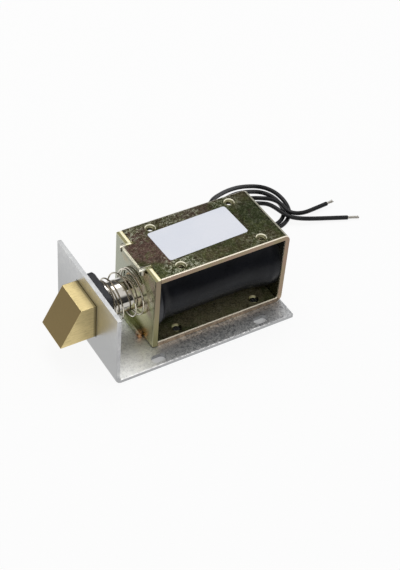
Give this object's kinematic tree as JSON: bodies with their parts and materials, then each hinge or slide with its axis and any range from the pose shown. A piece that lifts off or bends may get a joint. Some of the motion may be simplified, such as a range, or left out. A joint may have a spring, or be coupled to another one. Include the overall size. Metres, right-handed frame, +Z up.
{
  "type": "solenoid lock",
  "caption": "Open-frame pull-in solenoid on an L-shaped mounting bracket, with a bevelled square brass latch that springs out through the faceplate and is drawn back by the plunger.",
  "frame": {"origin": "middle of the four slots, on the underside of the bracket's base", "axes": "+X along the plunger from the latch to the rear, +Z up away from the base, +Y to the side where the lead wires leave"},
  "size_m": [0.139, 0.07, 0.0329],
  "materials": {
    "bright_zinc": "bright zinc plate, satin with a fine mottle",
    "yellow_zinc": "yellow zinc chromate, olive with brown clouds and pale gold cut edges",
    "yellow_zinc_front": "yellow zinc chromate, grey green with faint colours",
    "screw_steel": "zinc plated",
    "bobbin_plastic": "dark moulded plastic",
    "winding_copper": "enamelled copper",
    "black_tape": "black film tape, softly glossy",
    "tube_brass": "drawn",
    "core_iron": "turned",
    "nickel": "polished nickel plate",
    "pad_rubber": "matte",
    "latch_brass": "fine brushed",
    "spring_wire": "plated spring wire",
    "label_white": "blank white sticker",
    "wire_black": "soft black insulation",
    "tinned_strand": "tinned copper strands"
  },
  "bodies": {
    "lock_body": {"bracket": "bright_zinc", "yoke": "yellow_zinc", "front_plate": "yellow_zinc_front", "frame_screw_1": "screw_steel", "frame_screw_2": "screw_steel", "frame_screw_3": "screw_steel", "frame_screw_4": "screw_steel", "bobbin": "bobbin_plastic", "coil_winding": "winding_copper", "coil_tape": "black_tape", "guide_tube": "tube_brass", "fixed_core": "core_iron", "return_spring": "spring_wire", "label": "label_white", "lead_a": "wire_black", "lead_b": "wire_black", "lead_loop": "wire_black", "lead_tail_a": "wire_black", "lead_tail_b": "wire_black", "lead_tip_a": "tinned_strand", "lead_tip_b": "tinned_strand"},
    "latch": {"plunger": "nickel", "collar": "nickel", "bumper_pad": "pad_rubber", "latch_bolt": "latch_brass"}
  },
  "joints": [
    {"name": "latch_slide", "type": "slide", "parent": "lock_body", "child": "latch", "axis": [1, 0, 0], "range_m": [0, 0.01], "stiffness_N_per_m": 150, "springref_m": -0.01, "deforming": ["return_spring"]}
  ]
}
